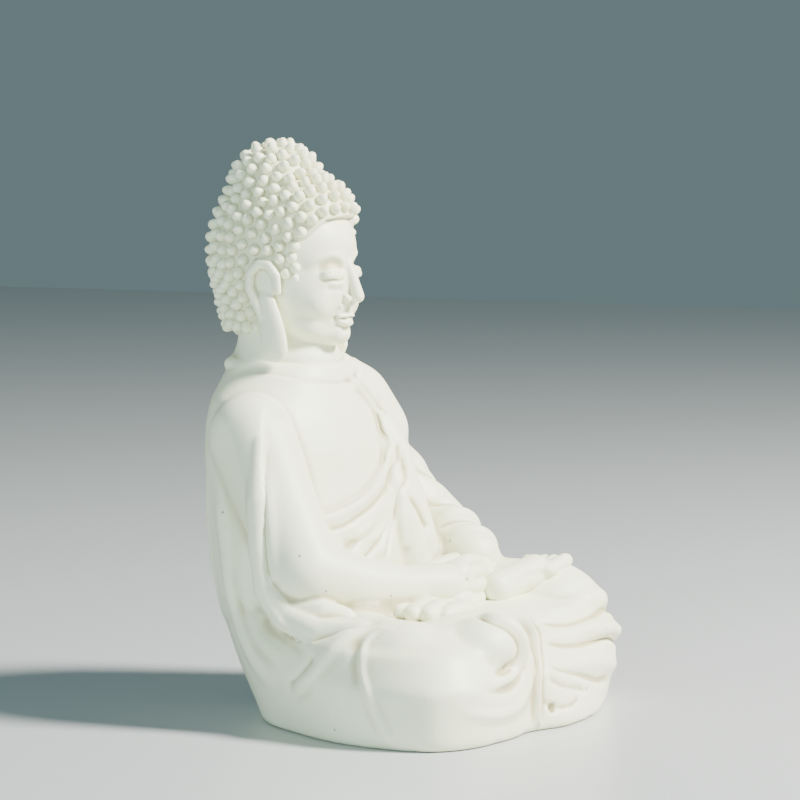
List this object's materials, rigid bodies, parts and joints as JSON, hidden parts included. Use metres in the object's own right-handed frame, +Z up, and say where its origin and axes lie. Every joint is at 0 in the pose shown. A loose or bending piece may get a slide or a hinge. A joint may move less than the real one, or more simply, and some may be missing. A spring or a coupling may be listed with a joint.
{
  "type": "seated meditating figurine",
  "caption": "Small white cast figurine of a seated figure in meditation, robed, hands joined in the lap, with snail-curl hair and a topknot, on a flat underside.",
  "frame": {"origin": "on the surface it stands on, at the centre of the figurine's bounding box", "axes": "+Z up; the figure looks along -Y, so its right hand side is at -X"},
  "size_m": [0.096, 0.0908, 0.1253],
  "materials": {
    "cast_stone": "satin white plaster"
  },
  "bodies": {
    "root": {"back_mantle": "cast_stone", "chest": "cast_stone", "chest_robe": "cast_stone", "hair_cap": "cast_stone", "hair_curls": "cast_stone", "head": "cast_stone", "left_ear": "cast_stone", "left_fingers": "cast_stone", "left_hand": "cast_stone", "left_leg": "cast_stone", "left_mantle": "cast_stone", "left_sleeve_cuff": "cast_stone", "left_sleeve_upper": "cast_stone", "left_thumb": "cast_stone", "left_wrist": "cast_stone", "neck": "cast_stone", "right_ear": "cast_stone", "right_fingers": "cast_stone", "right_foot": "cast_stone", "right_forearm": "cast_stone", "right_hand": "cast_stone", "right_leg": "cast_stone", "right_mantle": "cast_stone", "right_thumb": "cast_stone", "right_toes": "cast_stone", "right_upper_arm": "cast_stone", "skirt_back": "cast_stone", "topknot": "cast_stone", "topknot_curls": "cast_stone"}
  },
  "joints": []
}
